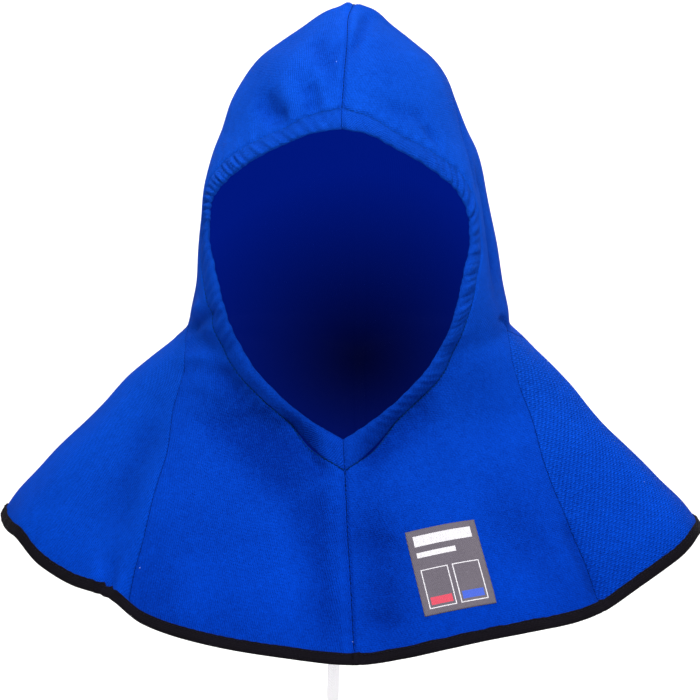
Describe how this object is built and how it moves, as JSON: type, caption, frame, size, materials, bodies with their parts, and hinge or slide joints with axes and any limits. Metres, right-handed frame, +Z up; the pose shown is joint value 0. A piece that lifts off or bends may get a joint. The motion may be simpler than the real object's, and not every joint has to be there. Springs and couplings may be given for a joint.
{
  "type": "welding hood",
  "caption": "Flame-resistant cloth welding hood with an open face, a gathered drawcord casing round it and a flared cape over the shoulders, bound at the hem.",
  "frame": {"origin": "head seat: where the top of the wearer's head meets the inside of the crown", "axes": "+Z up; -Y is where the wearer looks, through the face opening; +X is the wearer's left, across the cape's widest span"},
  "size_m": [0.4917, 0.3735, 0.5014],
  "materials": {
    "hood_twill": "royal blue flame-resistant cotton twill, matt with a faint sheen",
    "gusset_twill": "the same royal blue twill, cut with its ribs nearly level",
    "casing_twill": "the same royal blue twill, folded and gathered, stitched in dark blue",
    "black_binding": "matt black woven binding tape",
    "grey_patch": "matt dark grey transfer",
    "white_cord": "soft white flat woven cotton cord"
  },
  "bodies": {
    "root": {"hood_panel_left": "hood_twill", "hood_panel_right": "hood_twill", "shoulder_gusset_left": "gusset_twill", "shoulder_gusset_right": "gusset_twill", "face_casing_left": "casing_twill", "face_casing_right": "casing_twill", "hem_binding": "black_binding", "chest_patch": "grey_patch", "drawcord": "white_cord"}
  },
  "joints": []
}
